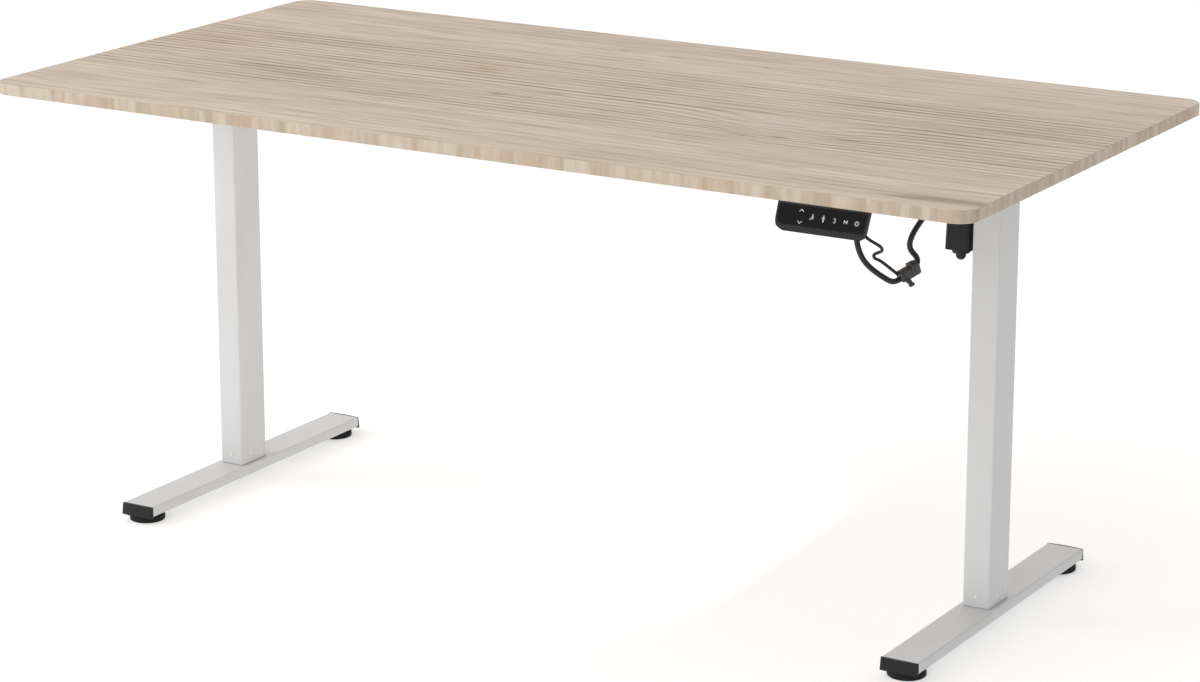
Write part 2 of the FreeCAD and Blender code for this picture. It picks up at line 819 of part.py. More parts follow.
def mains_inlet():
    """Socket for a mains lead, with three flat pins."""
    x0 = box_x - box_length / 2
    half_w = inlet_w / 2
    half_h = inlet_h / 2
    body = box(x0, x0 + inlet_depth, box_y - half_w, box_y + half_w,
               box_mid_z - half_h, box_mid_z + half_h)
    hollow = box(x0 - 1, x0 + inlet_depth - 2 * inlet_wall,
                 box_y - half_w + inlet_wall, box_y + half_w - inlet_wall,
                 box_mid_z - half_h + inlet_wall, box_mid_z + half_h - inlet_wall)
    shell = body.cut(hollow)
    for dy, dz in inlet_pins:
        pin = box(x0 + 2 * inlet_wall, x0 + inlet_depth - inlet_wall, box_y + dy - 1, box_y + dy + 1,
                  box_mid_z + dz - 2, box_mid_z + dz + 2)
        shell = shell.fuse(pin)
    return shell.removeSplitter()


def cable_ports():
    x1 = box_x + box_length / 2
    return [box(x1 - port_depth, x1 + port_out, y - port_w / 2, y + port_w / 2,
                box_mid_z - port_h / 2, box_mid_z + port_h / 2) for y in port_ys]


# ---- handset ----
def handset_profile(x, inset):
    """Side outline, moved inwards by inset, at the given X."""
    i = inset
    return [(x, handset_back_y - i, top_under - i),
            (x, handset_face_y + i, top_under - i),
            (x, handset_low_y + i, handset_low_z + i * 0.3),
            (x, handset_low_y + lip_in + i * 0.6, handset_low_z - lip_drop + i * 0.9),
            (x, handset_low_y + sole_in, handset_low_z - sole_drop + i),
            (x, handset_back_y - i, rear_z + i)]


def handset_solid(inset):
    half = handset_w / 2 - inset
    prism_x = prism(handset_profile(handset_x - half, inset), vec(2 * half, 0, 0))
    drop = top_under - handset_low_z + sole_drop
    inward = drop * math.tan(math.radians(handset_taper))
    low = top_under - drop + inset
    y0 = handset_low_y - 10
    front = prism([(handset_x - half, y0, top_under), (handset_x + half, y0, top_under),
                   (handset_x + half - inward, y0, low), (handset_x - half + inward, y0, low)],
                  vec(0, 70, 0))
    for side, corner_r in ((-1, handset_left_r), (1, handset_right_r)):
        low_edges = [e for e in front.Edges
                     if e.BoundBox.YLength > 60 and abs(e.BoundBox.ZMin - low) < 0.01]
        outer_edge = max(low_edges, key=lambda e: side * e.CenterOfMass.x)
        front = front.makeFillet(corner_r - inset, [outer_edge])
    return prism_x.common(front).common(handset_plan(inset))


def handset_plan(inset):
    """Prism along the slope of the face: full width at the rim, narrower behind it."""
    mid, across, down, outward = face_frame()
    slant = math.hypot(1, handset_narrow)
    half = handset_w / 2 - inset
    rim = handset_rim - inset * (slant - 1) / handset_narrow
    deep = handset_depth + handset_rim
    narrowed = handset_narrow * (deep - handset_rim)
    back_half = handset_w / 2 - inset * slant - narrowed
    start = mid - down * handset_face
    corners = []
    for u, depth in ((-half, -handset_depth), (half, -handset_depth), (half, rim),
                     (back_half, deep), (-back_half, deep), (-half, rim)):
        corners.append(start + across * u - outward * depth)
    corners.append(corners[0])
    return Part.Face(Part.makePolygon(corners)).extrude(down * (2.5 * handset_face))


def handset_housing():
    w = handset_wall
    shell = handset_solid(0).cut(handset_solid(w))
    rear = box(handset_x - handset_w, handset_x + handset_w, handset_back_y - w - 0.01,
               handset_back_y + 1, 0, top_under - w)
    shell = shell.cut(rear)
    shell = shell.cut(panel_plate(panel_fit))
    for sx in handset_screw_xs:
        shell = shell.cut(rod(sx, handset_screw_y, top_under - w - 1, top_under + 1, top_screw_r))
    return shell


def face_frame():
    """Middle of the sloping face and its three directions."""
    across = vec(1, 0, 0)
    down = vec(0, -math.sin(tilt), -math.cos(tilt))
    outward = vec(0, -math.cos(tilt), math.sin(tilt))
    mid = vec(handset_x, handset_face_y, top_under) + down * (handset_face / 2)
    return mid, across, down, outward


def face_plate(half_top, half_low, v0, v1, depth, proud, corner, left_r):
    """Plate in the sloping face; v runs down the face from its top edge."""
    mid, across, down, outward = face_frame()
    top_edge = mid - down * (handset_face / 2)
    corners = []
    for u, v in ((-half_top, v0), (half_top, v0), (half_low, v1), (-half_low, v1)):
        corners.append(top_edge + across * u + down * v - outward * depth)
    corners.append(corners[0])
    plate = Part.Face(Part.makePolygon(corners)).extrude(outward * (depth + proud))
    short = [e for e in plate.Edges if abs(e.Length - (depth + proud)) < 1e-6]
    low_left = min(short, key=lambda e: e.CenterOfMass.x + e.CenterOfMass.z)
    plate = plate.makeFillet(corner, [e for e in short if not e.isSame(low_left)])
    short = [e for e in plate.Edges if abs(e.Length - (depth + proud)) < 1e-6]
    low_left = min(short, key=lambda e: e.CenterOfMass.x + e.CenterOfMass.z)
    return plate.makeFillet(left_r, [low_left])


def panel_plate(extra):
    """The touch panel, or with some extra all round the recess that it lies in."""
    half_top = handset_w / 2 - panel_inset + extra
    v0 = panel_top - extra
    v1 = handset_face - panel_inset + extra
    fall = (v1 - v0) * math.tan(math.radians(handset_taper))
    proud = recess_out if extra else panel_proud
    return face_plate(half_top, half_top - fall, v0, v1, panel_t + extra, proud,
                      panel_corner_r, panel_left_r)


def window_plate(extra):
    half = window_half + extra
    depth = panel_t + 1 if extra else panel_t
    proud = recess_out if extra else panel_proud
    plate = face_plate(half, half, window_span[0] - extra, window_span[1] + extra,
                       depth, proud, window_corner_r, window_corner_r)
    plate.translate(vec(window_x, 0, 0))
    return plate


def touch_panel():
    return panel_plate(0).cut(window_plate(panel_fit))


def handset_back():
    """Flat cover that closes the housing from behind."""
    w = handset_wall
    half = handset_w / 2
    y1 = handset_back_y
    plate = box(handset_x - half, handset_x + half, y1 - w, y1, rear_z + w + 0.2,
                top_under - w - 0.1)
    return plate.common(handset_plan(0.2))


def handset_board():
    half = handset_w / 2 - handset_wall - handset_board_in
    v0, v1 = handset_board_span
    plate = face_plate(half, half - board_fall, v0, v1, handset_board_t, 0,
                       board_corner_r, board_left_r)
    mid, across, down, outward = face_frame()
    plate.translate(outward * -handset_board_deep)
    return plate


# ---- cables ----
handset_cable_route = [(632.6, -386.0, 664.0), (633.2, -386.2, 653.8), (634.4, -386.6, 643.6),
                       (636.6, -386.8, 632.6), (641.4, -385.4, 619.4), (648.8, -382.0, 608.4),
                       (658.3, -377.4, 599.8), (667.6, -371.8, 592.2), (674.6, -365.6, 586.6),
                       (678.4, -357.6, 585.2), (681.2, -349.2, 587.6)]
handset_lead_route = [(639.4, -384.0, 664.0), (640.2, -384.1, 656.6), (643.4, -384.0, 649.6),
                      (649.4, -383.6, 644.2), (656.8, -382.6, 640.4), (663.6, -380.2, 636.8),
                      (666.6, -376.4, 632.4), (664.4, -372.2, 627.4), (658.8, -368.8, 624.4),
                      (652.6, -366.9, 621.6), (649.0, -366.2, 618.6), (650.8, -365.6, 614.2),
                      (656.4, -364.4, 612.8), (662.6, -361.8, 608.4), (669.0, -358.4, 602.6),
                      (673.4, -354.2, 597.6), (677.2, -349.8, 592.6)]
control_cable_route = [(568.0, -157.0, 666.5), (580.0, -160.6, 666.6), (592.0, -172.6, 667.0),
                       (606.0, -186.0, 668.0), (622.0, -203.0, 669.8), (640.0, -217.0, 671.0),
                       (659.0, -229.0, 672.0), (675.0, -241.6, 672.6), (684.4, -258.6, 671.8),
                       (686.0, -276.0, 666.6), (685.0, -291.0, 659.8), (683.6, -303.8, 651.8),
                       (682.0, -313.8, 644.2), (680.2, -319.6, 636.0), (679.0, -321.6, 627.6),
                       (681.0, -322.4, 620.8), (686.2, -323.2, 616.2), (691.6, -325.0, 612.6),
                       (694.4, -327.6, 607.4), (693.6, -330.2, 602.0)]
motor_lead_route = [(594.2, -10.0, 627.0), (584.0, -11.0, 629.0), (576.0, -14.0, 634.0),
                    (571.0, -20.0, 641.5), (570.0, -29.0, 647.5), (571.5, -40.0, 647.0),
                    (574.0, -52.0, 645.8), (577.0, -64.0, 646.6), (580.0, -76.0, 651.0),
                    (582.0, -87.0, 657.5), (582.5, -98.0, 663.0), (580.0, -107.0, 666.0),
                    (568.0, -113.0, 666.5)]


def connector_turned(shape):
    """Turns a shape drawn along +Y to the way that the connectors hang."""
    shape.rotate(vec(0, 0, 0), vec(1, 0, 0), plug_rise)
    shape.rotate(vec(0, 0, 0), vec(0, 0, 1), -plug_turn)
    shape.translate(vec(*plug_place))
    return shape


def connector_block(size, along, up):
    """Block with its middle so far along the plug's own length and height."""
    width, length, height = size
    block = box(-width / 2, width / 2, along - length / 2, along + length / 2,
                up - height / 2, up + height / 2)
    edges = [e for e in block.Edges if e.BoundBox.YLength > length - 0.01]
    return connector_turned(block.makeFillet(plug_corner_r, edges))


def cable_plug():
    return connector_block(plug_size, 0, 0)


def cable_socket():
    return connector_block(socket_size, (plug_size[1] + socket_size[1]) / 2, socket_up)


def cable_clips(cable):
    """Adhesive clips under the top, each closed round the cable."""
    clips = []
    half_x, half_y, pad_t = clip_pad[0] / 2, clip_pad[1] / 2, clip_pad[2]
    loop_x, loop_y = clip_loop[0] / 2, clip_loop[1] / 2
    pad_low = top_under - pad_t
    for x, y, z in clip_places:
        pad = box(x - half_x, x + half_x, y - half_y, y + half_y, pad_low, top_under)
        loop = box(x - loop_x, x + loop_x, y - loop_y, y + loop_y, z - clip_under, pad_low)
        clips.append(pad.fuse(loop).removeSplitter().cut(cable))
    return clips


# ---- write every piece ----
os.makedirs("parts", exist_ok=True)

for side, x in feet:
    save(side + "_foot", foot(x))
    save(side + "_inner_column", inner_column(x))
    save(side + "_outer_column", outer_column(x))
    save(side + "_spindle", spindle(x))
    save(side + "_spindle_gear", spindle_gear(x))
    save(side + "_gear_housing", gear_housing(side, x))
    save(side + "_side_bracket", side_bracket(x))
    for end, y in pads:
        save(side + "_" + end + "_leveller", leveller(x, y))

save("foot_end_caps", group([foot_cap(x, y, out) for side, x in feet
                             for y, out in ((foot_front, -1), (foot_back, 1))]))
save("leveller_inserts", group([leveller_insert(x, y) for side, x in feet for end, y in pads]))
save("column_base_plates", group([base_plate(x) for side, x in feet]))
save("column_bolts", group([b for side, x in feet for b in column_bolts(x)]))
save("nut_carriers", group([nut_carrier(x) for side, x in feet]))
save("spindle_nuts", group([spindle_nut(x) for side, x in feet]))
save("column_plates", group([column_plate(side, x) for side, x in feet]))
save("upper_glides", group([upper_glide(x) for side, x in feet]))
save("lower_glides", group([lower_glide(x) for side, x in feet]))
save("glide_screws", group([s[0] for side, x in feet for s in glide_screw_places(x)]))
save("spindle_bearings", group([spindle_bearing(x) for side, x in feet]))

left_hub_from = -leg_x - housing_half_x + 0.5
right_hub_from = leg_x - drive_reach - hub_out
save("left_shaft_gear", shaft_gear(-leg_x, left_hub_from))
save("right_shaft_gear", shaft_gear(leg_x, right_hub_from))
save("hex_shaft", hex_bar(left_hub_from, leg_x - 8.0, 0))
save("worm_wheel", worm_wheel())
save("worm_shaft", worm_shaft())
save("motor_can", motor_can())
save("motor_end_frame", motor_end_frame())

save("front_rail", rail(housing_front_y, -1))
save("rear_rail", rail(housing_back_y, 1))
save("rail_bolts", group(rail_bolts(housing_front_y, -1) + rail_bolts(housing_back_y, 1)))
save("tabletop", table_top())
save("top_screws", group(top_screws()))

handset_cable = cord("handset_cable", handset_cable_route, cable_d)
handset_lead = cord("handset_lead", handset_lead_route, lead_d)
control_cable = cord("control_cable", control_cable_route, cable_d)
motor_lead = cord("motor_lead", motor_lead_route, motor_lead_d)
save("handset_cable", handset_cable)
save("handset_lead", handset_lead)
save("control_cable", control_cable)
save("motor_lead", motor_lead)
save("cable_plug", cable_plug().cut(handset_cable).cut(handset_lead))
save("cable_socket", cable_socket().cut(control_cable))
save("cable_clips", group(cable_clips(control_cable)))
save("motor_cover", motor_cover().cut(motor_lead))

save("control_box", control_box())
save("control_box_lid", control_lid())
save("control_board", circuit_board())
save("mains_inlet", mains_inlet())
save("cable_ports", group([p.cut(control_cable).cut(motor_lead) for p in cable_ports()]))

save("handset_housing", handset_housing().cut(handset_cable).cut(handset_lead))
save("handset_back", handset_back())
save("touch_panel", touch_panel())
save("display_window", window_plate(0))
save("handset_board", handset_board())
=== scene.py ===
import bpy
import bmesh
import json
import math
from mathutils import Matrix, Vector


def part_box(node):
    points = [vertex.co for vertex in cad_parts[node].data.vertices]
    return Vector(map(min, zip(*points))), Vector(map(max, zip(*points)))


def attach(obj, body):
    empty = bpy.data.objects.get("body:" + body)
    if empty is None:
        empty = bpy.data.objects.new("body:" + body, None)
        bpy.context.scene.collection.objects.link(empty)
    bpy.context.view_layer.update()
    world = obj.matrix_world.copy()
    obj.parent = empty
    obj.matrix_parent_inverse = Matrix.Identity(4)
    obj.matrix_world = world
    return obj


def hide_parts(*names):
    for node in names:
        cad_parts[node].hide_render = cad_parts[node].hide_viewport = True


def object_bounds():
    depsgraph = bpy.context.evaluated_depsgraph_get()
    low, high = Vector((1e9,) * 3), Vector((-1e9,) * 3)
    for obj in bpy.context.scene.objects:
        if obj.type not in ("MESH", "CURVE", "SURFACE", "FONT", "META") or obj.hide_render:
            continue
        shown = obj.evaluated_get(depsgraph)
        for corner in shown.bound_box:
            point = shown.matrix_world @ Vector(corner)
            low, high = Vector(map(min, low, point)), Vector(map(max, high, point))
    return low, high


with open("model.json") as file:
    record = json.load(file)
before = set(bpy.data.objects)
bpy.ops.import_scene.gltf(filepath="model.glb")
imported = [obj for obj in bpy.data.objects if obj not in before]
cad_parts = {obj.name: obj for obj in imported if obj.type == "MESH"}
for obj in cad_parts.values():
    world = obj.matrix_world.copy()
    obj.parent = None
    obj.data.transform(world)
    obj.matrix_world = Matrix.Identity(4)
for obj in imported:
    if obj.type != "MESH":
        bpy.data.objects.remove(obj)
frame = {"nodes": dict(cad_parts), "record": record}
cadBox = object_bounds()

mm = 0.001
nodes = frame["nodes"]
print("frame loaded:", len(nodes), "nodes")


view = {
    "azimuth": 30.9035,                  # degrees round from the front towards the right
    "elevation": 15.1885,
    "place": (2.66206, -4.42364, 1.77612),
    "lens": 107.6,                       # mm on a 36 mm wide sensor
    "shift": (0.0009, -0.0292),
}


def makeCamera():
    data = bpy.data.cameras.new("deskCamera")
    data.sensor_width = 36
    data.lens = view["lens"]
    data.shift_x, data.shift_y = view["shift"]
    camera = bpy.data.objects.new("deskCamera", data)
    camera.location = view["place"]
    camera.rotation_euler = (math.radians(90 - view["elevation"]), 0, math.radians(view["azimuth"]))
    bpy.context.scene.collection.objects.link(camera)
    bpy.context.scene.camera = camera


makeCamera()
print("camera set")


# Each route is the cord's control points in mm, from where it leaves the desk.
cords = {
    "handsetCable": {
        "node": "handset_cable", "diameter": 7.6, "length": 115, "stiffness": "stiff",
        "route": [(632.6, -386.0, 664.0), (633.2, -386.2, 653.8), (634.4, -386.6, 643.6),
                  (636.6, -386.8, 632.6), (641.4, -385.4, 619.4), (648.8, -382.0, 608.4),
                  (658.3, -377.4, 599.8), (667.6, -371.8, 592.2), (674.6, -365.6, 586.6),
                  (678.4, -357.6, 585.2), (681.2, -349.2, 587.6)]},
    "handsetLead": {
        "node": "handset_lead", "diameter": 4.3, "length": 113, "stiffness": "medium",
        "route": [(639.4, -384.0, 664.0), (640.2, -384.1, 656.6), (643.4, -384.0, 649.6),
                  (649.4, -383.6, 644.2), (656.8, -382.6, 640.4), (663.6, -380.2, 636.8),
                  (666.6, -376.4, 632.4), (664.4, -372.2, 627.4), (658.8, -368.8, 624.4),
                  (652.6, -366.9, 621.6), (649.0, -366.2, 618.6), (650.8, -365.6, 614.2),
                  (656.4, -364.4, 612.8), (662.6, -361.8, 608.4), (669.0, -358.4, 602.6),
                  (673.4, -354.2, 597.6), (677.2, -349.8, 592.6)]},
    "controlCable": {
        "node": "control_cable", "diameter": 7.6, "length": 270, "stiffness": "stiff",
        "route": [(568.0, -157.0, 666.5), (580.0, -160.6, 666.6), (592.0, -172.6, 667.0),
                  (606.0, -186.0, 668.0), (622.0, -203.0, 669.8), (640.0, -217.0, 671.0),
                  (659.0, -229.0, 672.0), (675.0, -241.6, 672.6), (684.4, -258.6, 671.8),
                  (686.0, -276.0, 666.6), (685.0, -291.0, 659.8), (683.6, -303.8, 651.8),
                  (682.0, -313.8, 644.2), (680.2, -319.6, 636.0), (679.0, -321.6, 627.6),
                  (681.0, -322.4, 620.8), (686.2, -323.2, 616.2), (691.6, -325.0, 612.6),
                  (694.4, -327.6, 607.4), (693.6, -330.2, 602.0)]},
}


def makeCord(name, spec):
    curve = bpy.data.curves.new(name, "CURVE")
    curve.dimensions = "3D"
    curve.bevel_depth = 1.0     # times each point's radius, so that the bounds hold only the cord
    curve.bevel_resolution = 6
    curve.resolution_u = 16
    curve.use_fill_caps = True
    spline = curve.splines.new("NURBS")
    spline.points.add(len(spec["route"]) - 1)
    for point, at in zip(spline.points, spec["route"]):
        point.co = (at[0] * mm, at[1] * mm, at[2] * mm, 1)
        point.radius = spec["diameter"] * mm / 2
    spline.order_u = 3
    spline.use_endpoint_u = True
    cordPiece = bpy.data.objects.new(name, curve)
    bpy.context.scene.collection.objects.link(cordPiece)
    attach(cordPiece, "lift")
    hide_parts(spec["node"])
    return cordPiece


cordPieces = {name: makeCord(name, spec) for name, spec in cords.items()}
print("cords laid")


def linear(hexColour):
    channels = []
    for i in (1, 3, 5):
        c = int(hexColour[i:i + 2], 16) / 255
        channels.append(c / 12.92 if c <= 0.04045 else ((c + 0.055) / 1.055) ** 2.4)
    return (*channels, 1)


def addNode(tree, kind, inputs=None, **settings):
    node = tree.nodes.new("ShaderNode" + kind)
    for key, value in settings.items():
        setattr(node, key, value)
    for key, value in (inputs or {}).items():
        if isinstance(value, bpy.types.NodeSocket):
            tree.links.new(value, node.inputs[key])
        else:
            node.inputs[key].default_value = value
    return node


def startMaterial(name, roughness, metallic=0.0, ior=None, gloss=0.5):
    material = bpy.data.materials.new(name)
    material.use_nodes = True
    tree = material.node_tree
    shader = tree.nodes["Principled BSDF"]
    shader.inputs["Roughness"].default_value = roughness
    shader.inputs["Metallic"].default_value = metallic
    shader.inputs["Specular IOR Level"].default_value = gloss
    if ior:
        shader.inputs["IOR"].default_value = ior
    return material, tree, shader


def place(tree):
    return addNode(tree, "TexCoord").outputs["Object"]


def noise(tree, at, grain, detail=2.0, stretch=(1, 1, 1), rough=0.5):
    # grain is the pattern's size in mm
    scaled = addNode(tree, "Mapping", {"Vector": at, "Scale": [s / (grain * mm) for s in stretch]})
    return addNode(tree, "TexNoise", {"Vector": scaled.outputs["Vector"], "Scale": 1.0,
                                      "Detail": detail, "Roughness": rough}).outputs["Fac"]


def spread(tree, value, low, high, toLow=0.0, toHigh=1.0):
    return addNode(tree, "MapRange", {"Value": value, "From Min": low, "From Max": high,
                                      "To Min": toLow, "To Max": toHigh}).outputs["Result"]


def maths(tree, operation, a, b=0.0):
    return addNode(tree, "Math", {0: a, 1: b}, operation=operation).outputs[0]


def mixColours(tree, share, a, b):
    return addNode(tree, "Mix", {0: share, 6: a, 7: b}, data_type="RGBA").outputs[2]


def bump(tree, shader, height, depth, strength=1.0):
    # depth is the height of the relief in mm
    node = addNode(tree, "Bump", {"Height": height, "Distance": depth * mm, "Strength": strength})
    tree.links.new(node.outputs["Normal"], shader.inputs["Normal"])


oak = {
    "pale": "#D8C7B4", "mid": "#CBB7A3", "late": "#8F7660", "ring": "#7E6651", "fleck": "#6B5545",
    "ringSpacing": 17.6,                # mm between growth lines, drawn as coarse as they show
    "ringBand": (0.155, 0.205),         # m from the middle where the wide lines fade out
    "streak": 7.5,                      # mm across one streak, coarse enough to show
    "pore": 4.0, "fleckWide": 9.0,      # mm, drawn far coarser than real pores so that they show
    "swirl": (0.355, -0.078, 0.125, 0.060),      # x, y, half length, half width in m
    "push": 0.050,                      # how far the swirl bends the lines
    "calm": (0.365, -0.042, 0.115, 0.052),
    # x, y, half length, half width, colour, strength
    "patches": [(0.765, -0.352, 0.085, 0.016, "#7D5F4B", 0.75),
                (0.70, -0.366, 0.05, 0.010, "#6F5443", 0.6), (-0.72, 0.045, 0.10, 0.055, "#C69A80", 0.40),
                (-0.215, 0.052, 0.028, 0.020, "#B98A62", 0.55),
                (-0.05, 0.285, 0.035, 0.03, "#DFD3C4", 0.45),
                (0.345, -0.045, 0.12, 0.055, "#CDBFAF", 0.55),
                (-0.15, -0.245, 0.60, 0.010, "#A48A74", 0.40),
                (0.45, -0.262, 0.20, 0.012, "#A08570", 0.40), (-0.30, 0.33, 0.45, 0.018, "#A68C76", 0.35),
                (0.64, 0.052, 0.16, 0.012, "#85694F", 0.60), (-0.53, -0.088, 0.08, 0.007, "#7E634D", 0.55),
                (-0.43, -0.066, 0.016, 0.007, "#5E4836", 0.75),
                (-0.105, -0.088, 0.012, 0.007, "#5E4836", 0.75),
                (-0.035, -0.045, 0.018, 0.005, "#5E4836", 0.7),
                (0.33, -0.150, 0.020, 0.006, "#5A4433", 0.75),
                (0.385, -0.136, 0.014, 0.005, "#5A4433", 0.8),
                (0.475, -0.105, 0.020, 0.006, "#5A4433", 0.7),
                (-0.115, 0.290, 0.012, 0.006, "#6B5545", 0.6),
                (-0.02, 0.287, 0.010, 0.008, "#6B5545", 0.6), (0.14, 0.285, 0.010, 0.006, "#6B5545", 0.5),
                (-0.55, -0.30, 0.030, 0.004, "#7E634D", 0.6), (-0.11, -0.218, 0.014, 0.004, "#7E634D", 0.6)],
    "edgePale": "#CABDAC", "edgeMid": "#B3A28F", "edgeBlush": "#BFA592",
    "edgeStripe": 13.0,                 # mm along the edge for one stripe
}


def hill(tree, x, y, spot):
    # A soft mound: spot is its x, y, half length and half width in m.
    dx = maths(tree, "DIVIDE", maths(tree, "SUBTRACT", x, spot[0]), spot[2])
    dy = maths(tree, "DIVIDE", maths(tree, "SUBTRACT", y, spot[1]), spot[3])
    away = maths(tree, "ADD", maths(tree, "MULTIPLY", dx, dx), maths(tree, "MULTIPLY", dy, dy))
    return maths(tree, "EXPONENT", maths(tree, "MULTIPLY", away, -1.0))


def growthLines(tree, flat, x, y):
    # Lines along the board, bent round the swirl, broken up and fading out from the middle.
    drift = spread(tree, noise(tree, flat, 240, 1.0, (0.25, 1.6, 1)), 0.3, 0.7, -0.005, 0.005)
    waver = spread(tree, noise(tree, flat, 60, 2.0, (0.35, 1.5, 1)), 0.3, 0.7, -0.0010, 0.0010)
    bend = maths(tree, "MULTIPLY", hill(tree, x, y, oak["swirl"]), oak["push"])
    across = maths(tree, "ADD", maths(tree, "ADD", y, drift), maths(tree, "ADD", waver, bend))
    turn = 2 * math.pi / (oak["ringSpacing"] * mm)
    wave = maths(tree, "SINE", maths(tree, "MULTIPLY", across, turn))
    rings = maths(tree, "POWER", spread(tree, wave, -1, 1), 2.8)
    faint = spread(tree, noise(tree, flat, 34, 2.0, (0.09, 1, 1)), 0.38, 0.60, 0.42, 1.0)
    fromMiddle = maths(tree, "ABSOLUTE", maths(tree, "ADD", y, 0.01))
    low, high = oak["ringBand"]
    band = addNode(tree, "MapRange", {"Value": fromMiddle, "From Min": low, "From Max": high,
                                      "To Min": 1.0, "To Max": 0.14}, interpolation_type="SMOOTHSTEP")
    patchy = spread(tree, noise(tree, flat, 200, 3.0, (0.5, 4.0, 1)), 0.36, 0.58, 0.45, 1.0)
    calm = maths(tree, "SUBTRACT", 1.0, maths(tree, "MULTIPLY", hill(tree, x, y, oak["calm"]), 0.95))
    for share in (faint, band.outputs[0], patchy, calm):
        rings = maths(tree, "MULTIPLY", rings, share)
    return rings


def oakFace(tree, flat, x, y, streak, hair, rings):
    # The print on the board's faces: tone, patches and knots, then streaks, lines and flecks.
    tone = spread(tree, noise(tree, flat, 120, 3.0, (0.16, 1.8, 1)), 0.34, 0.66)
    colour = mixColours(tree, tone, linear(oak["mid"]), linear(oak["pale"]))
    broken = spread(tree, noise(tree, flat, 26, 3.0, (0.12, 1, 1)), 0.35, 0.6, 0.35, 1.0)
    for *spot, patchColour, strength in oak["patches"]:
        mound = maths(tree, "MULTIPLY", hill(tree, x, y, spot), strength)
        colour = mixColours(tree, maths(tree, "MULTIPLY", mound, broken), colour, linear(patchColour))
    fleck = spread(tree, noise(tree, flat, oak["fleckWide"], 2.0, (0.16, 1, 1)), 0.70, 0.80)
    for share, strength, shade in ((streak, 0.38, "late"), (hair, 0.22, "late"),
                                   (rings, 0.95, "ring"), (fleck, 0.45, "fleck")):
        colour = mixColours(tree, maths(tree, "MULTIPLY", share, strength), colour, linear(oak[shade]))
    return colour


def oakEdge(tree, x, y, z):
    # The edge band is cut across the print, so its stripes stand upright.
    along = addNode(tree, "CombineXYZ", {0: maths(tree, "ADD", x, y), 1: z}).outputs[0]
    stripe = spread(tree, noise(tree, along, oak["edgeStripe"], 3.0, (1, 0.12, 1)), 0.36, 0.64)
    broad = spread(tree, noise(tree, along, 70, 2.0, (1, 0.1, 1)), 0.45, 0.68, 0, 0.7)
    edge = mixColours(tree, stripe, linear(oak["edgeMid"]), linear(oak["edgePale"]))
    return mixColours(tree, broad, edge, linear(oak["edgeBlush"]))


def makeOakLaminate():
    # Oak print under melamine: satin, with straight lines along the board and a banded edge.
    material, tree, shader = startMaterial("oakLaminate", 0.5, ior=1.5, gloss=0.2)
    coords = addNode(tree, "TexCoord")
    x, y, z = addNode(tree, "SeparateXYZ", {0: coords.outputs["Object"]}).outputs
    flat = addNode(tree, "CombineXYZ", {0: x, 1: y}).outputs[0]
    streak = spread(tree, noise(tree, flat, oak["streak"], 3.0, (0.045, 1, 1)), 0.48, 0.64)
    hair = spread(tree, noise(tree, flat, oak["pore"], 2.0, (0.02, 1, 1)), 0.5, 0.75)
    rings = growthLines(tree, flat, x, y)
    face = oakFace(tree, flat, x, y, streak, hair, rings)
    facing = addNode(tree, "SeparateXYZ", {0: coords.outputs["Normal"]}).outputs[2]
    onFace = spread(tree, maths(tree, "ABSOLUTE", facing), 0.55, 0.85)
    tree.links.new(mixColours(tree, onFace, oakEdge(tree, x, y, z), face), shader.inputs["Base Color"])
    duller = spread(tree, maths(tree, "ADD", streak, rings), 0.0, 2.0, 0.46, 0.58)
    tree.links.new(duller, shader.inputs["Roughness"])
    bump(tree, shader, maths(tree, "ADD", hair, maths(tree, "MULTIPLY", rings, 1.2)), 0.04, 0.4)
    return material


powder = {"white": "#D2D3D4", "warm": "#CECECE", "peel": 1.6, "peelDepth": 0.02}


def makeWhitePowderCoat():
    # Powder coat on steel: baked on, so satin with a faint orange peel, drawn coarser to show.
    material, tree, shader = startMaterial("whitePowderCoat", 0.38, ior=1.5)
    at = place(tree)
    cloud = spread(tree, noise(tree, at, 160, 2.0), 0.35, 0.65)
    colour = mixColours(tree, cloud, linear(powder["white"]), linear(powder["warm"]))
    tree.links.new(colour, shader.inputs["Base Color"])
    peel = noise(tree, at, powder["peel"], 2.0)
    tree.links.new(spread(tree, peel, 0.3, 0.7, 0.34, 0.44), shader.inputs["Roughness"])
    bump(tree, shader, peel, powder["peelDepth"], 0.5)
    return material


def makeMoulded(name, colourHex, paleHex, roughness, grain, depth, gloss=0.5, ior=1.53):
    # Moulded plastic or rubber: a spark-eroded grain, a little duller and paler in patches.
    # The real grain is finer than the grain here, which is drawn coarse enough to show.
    material, tree, shader = startMaterial(name, roughness, ior=ior, gloss=gloss)
    at = place(tree)
    patch = spread(tree, noise(tree, at, 35, 3.0), 0.35, 0.7)
    colour = mixColours(tree, patch, linear(colourHex), linear(paleHex))
    tree.links.new(colour, shader.inputs["Base Color"])
    fine = noise(tree, at, grain, 3.0, rough=0.6)
    rough = spread(tree, fine, 0.3, 0.7, roughness - 0.06, roughness + 0.08)
    tree.links.new(rough, shader.inputs["Roughness"])
    bump(tree, shader, fine, depth, 0.6)
    return material


def makeMetal(name, bright, dull, roughness, stretch, grain, depth):
    # Bare or plated metal: marks along the way it was drawn, turned or cast, coarse enough to show.
    material, tree, shader = startMaterial(name, roughness, metallic=1.0)
    at = place(tree)
    marks = noise(tree, at, grain, 3.0, stretch)
    cloud = spread(tree, noise(tree, at, 22, 2.0), 0.35, 0.65)
    colour = mixColours(tree, cloud, linear(bright), linear(dull))
    tree.links.new(colour, shader.inputs["Base Color"])
    rough = spread(tree, marks, 0.3, 0.7, roughness - 0.07, roughness + 0.1)
    tree.links.new(rough, shader.inputs["Roughness"])
    bump(tree, shader, marks, depth, 0.5)
    return material


board = {"mask": "#1D5A37", "maskDark": "#17492D", "track": "#2F7A4C", "gap": 0.6, "pad": (11.0, 3.5)}


